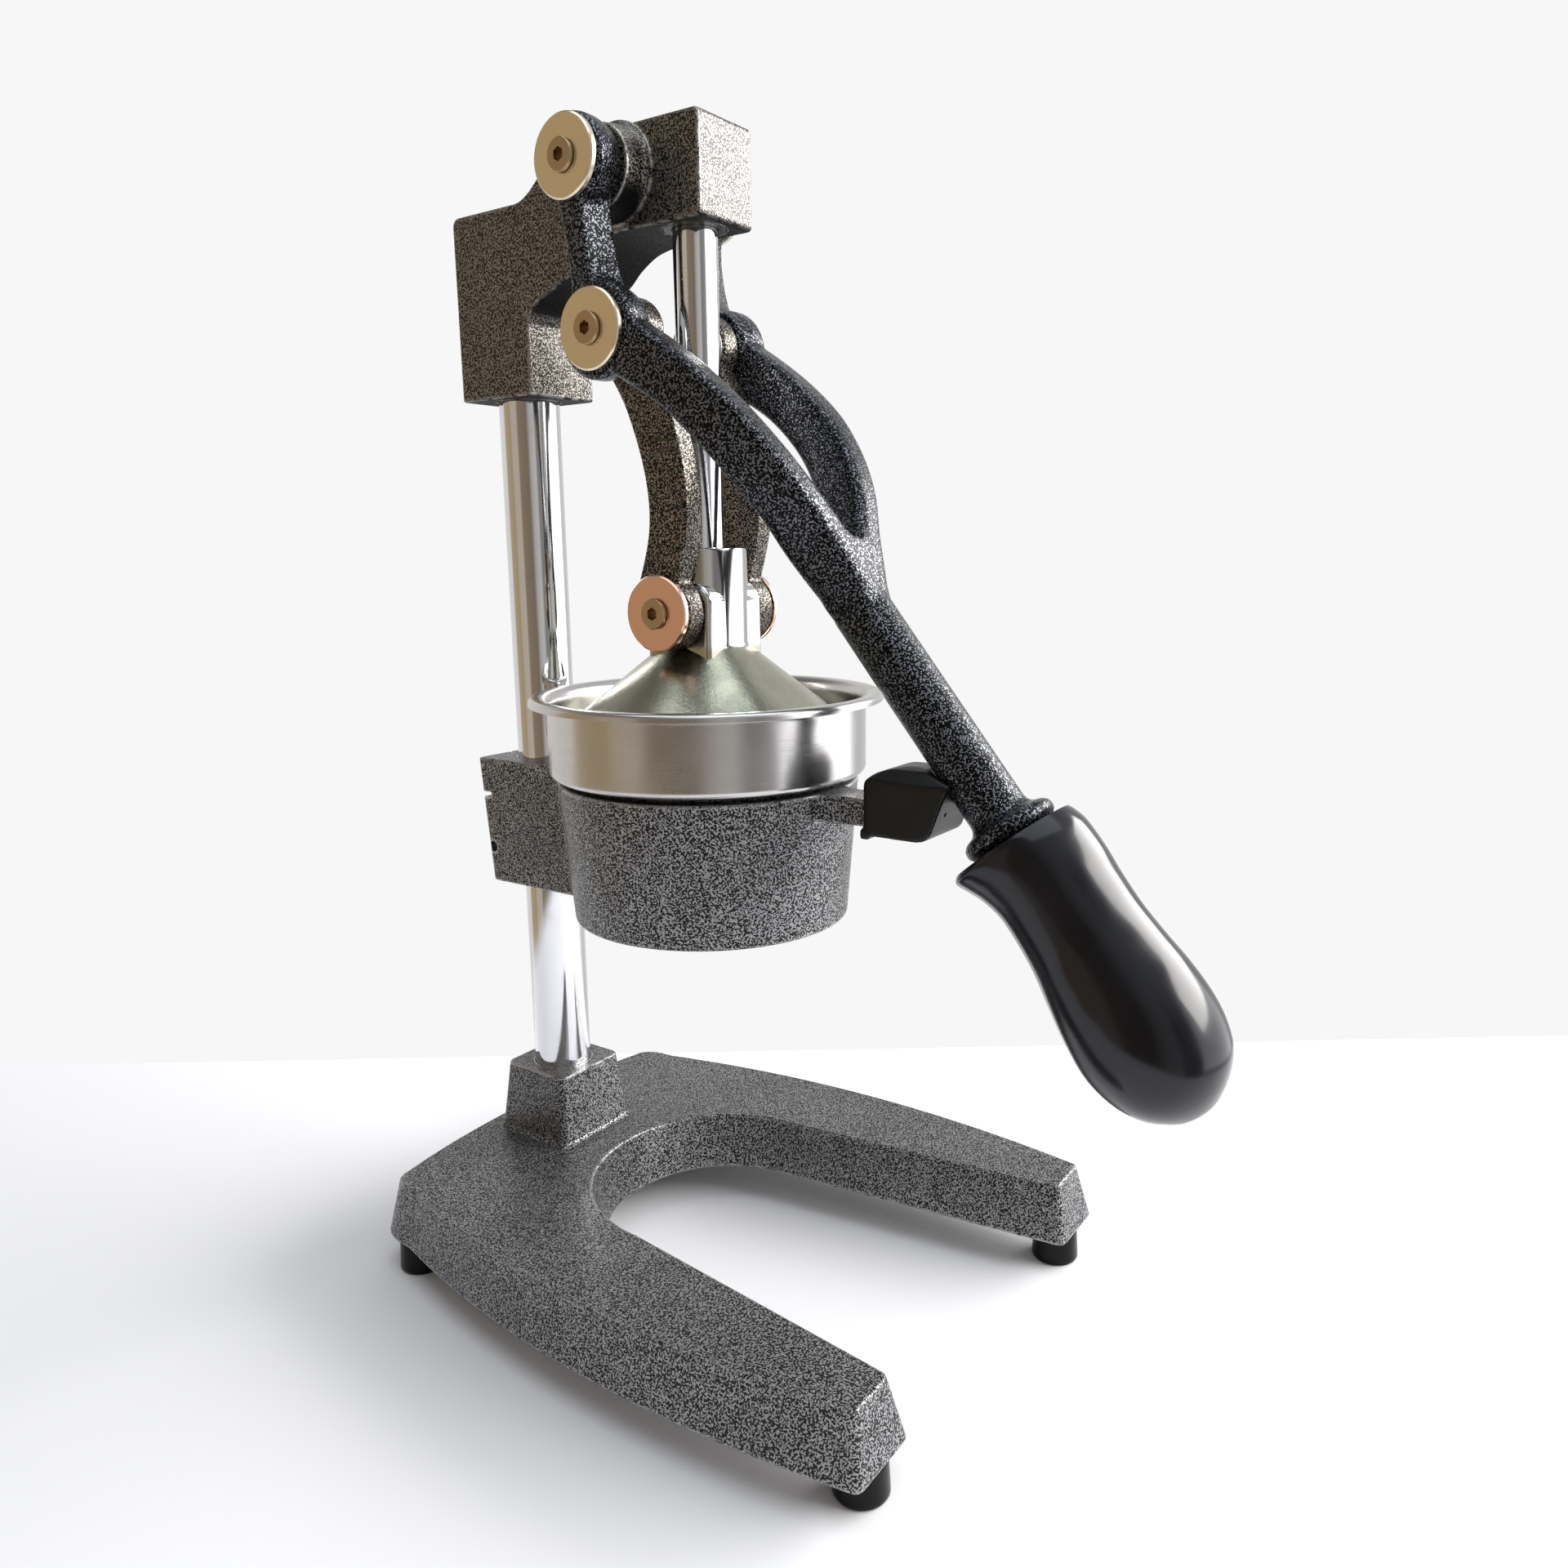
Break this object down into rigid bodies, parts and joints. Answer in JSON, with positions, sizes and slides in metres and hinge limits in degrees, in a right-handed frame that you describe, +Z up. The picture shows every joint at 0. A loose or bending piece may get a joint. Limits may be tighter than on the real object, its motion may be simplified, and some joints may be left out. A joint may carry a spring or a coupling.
{
  "type": "lever citrus juice press",
  "caption": "Countertop press: a forked lever and links push a press head on a vertical rod down over a strainer cone in a cup, and the juice runs out of the cup's spout.",
  "frame": {"origin": "on the table, under the centre of the bounding box", "axes": "+Z is up, the lever and the open side of the base face -Y, the post stands at +Y, and X runs across the press in its plane of symmetry's normal"},
  "size_m": [0.1912, 0.3044, 0.4134],
  "materials": {
    "base_enamel": "grey hammered enamel on a rough casting",
    "dark_enamel": "near-black hammered enamel on a rough casting",
    "chrome": "mirror chrome plate",
    "cup_steel": "satin spun stainless steel",
    "aluminium": "satin cast aluminium, polished where turned",
    "cap_bronze": "satin warm-toned plate with a bright edge",
    "pin_steel": "ground steel",
    "bush_bronze": "sintered bronze",
    "grip_plastic": "smooth glossy black",
    "rubber": "black rubber",
    "fastener_steel": "blackened steel"
  },
  "bodies": {
    "stand": {"juice_cup": "cup_steel", "head_casting": "dark_enamel", "strainer_cone": "aluminium", "cup_holder": "base_enamel", "base_casting": "base_enamel", "rest_pad": "rubber", "rear_post": "chrome", "head_axle_cap_right": "cap_bronze", "head_axle_cap_left": "cap_bronze", "post_washer": "fastener_steel", "guide_bush_lower": "bush_bronze", "guide_bush_upper": "bush_bronze", "foot_front_left": "rubber", "foot_front_right": "rubber", "foot_rear_left": "rubber", "foot_rear_right": "rubber", "head_axle": "pin_steel", "head_axle_screw_right": "cap_bronze", "head_axle_screw_left": "cap_bronze", "foot_screw_front_left": "fastener_steel", "foot_screw_front_right": "fastener_steel", "foot_screw_rear_left": "fastener_steel", "foot_screw_rear_right": "fastener_steel", "post_bolt": "fastener_steel", "head_screw_lower": "fastener_steel", "head_screw_upper": "fastener_steel", "holder_clamp_screw": "fastener_steel"},
    "lever": {"lever_casting": "dark_enamel", "lever_grip": "grip_plastic", "crank_pin_cap_right": "cap_bronze", "crank_pin_cap_left": "cap_bronze", "crank_pin_screw_right": "cap_bronze", "crank_pin_screw_left": "cap_bronze", "lever_top_bush_right": "bush_bronze", "lever_top_bush_left": "bush_bronze", "crank_bush_right": "bush_bronze", "crank_bush_left": "bush_bronze", "crank_pin_right": "pin_steel", "crank_pin_left": "pin_steel"},
    "links": {"link_right": "dark_enamel", "link_left": "dark_enamel", "link_top_bush_right": "bush_bronze", "link_top_bush_left": "bush_bronze", "link_bottom_bush_right": "bush_bronze", "link_bottom_bush_left": "bush_bronze"},
    "plunger": {"press_head": "aluminium", "press_pin_cap_right": "cap_bronze", "press_pin_cap_left": "cap_bronze", "plunger_rod": "chrome", "press_pin_screw_right": "cap_bronze", "press_pin_screw_left": "cap_bronze", "press_pin_right": "pin_steel", "press_pin_left": "pin_steel", "press_set_screw": "fastener_steel"}
  },
  "joints": [
    {"name": "lever_hinge", "type": "hinge", "parent": "stand", "child": "lever", "pos_m": [0, 0.05851, 0.3978], "axis": [-1, 0, 0], "range_deg": [0, 100]},
    {"name": "plunger_slide", "type": "slide", "parent": "stand", "child": "plunger", "axis": [0, 0, 1], "range_m": [0, 0.0742]},
    {"name": "link_hinge", "type": "hinge", "parent": "plunger", "child": "links", "pos_m": [0, 0.03711, 0.2532], "axis": [1, 0, 0], "range_deg": [0, 26.7]}
  ],
  "couplings": [
    {"joint": "plunger_slide", "follows": "lever_hinge", "m_per_rad": 0.042439},
    {"joint": "link_hinge", "follows": "lever_hinge", "ratio": 0.2668}
  ]
}
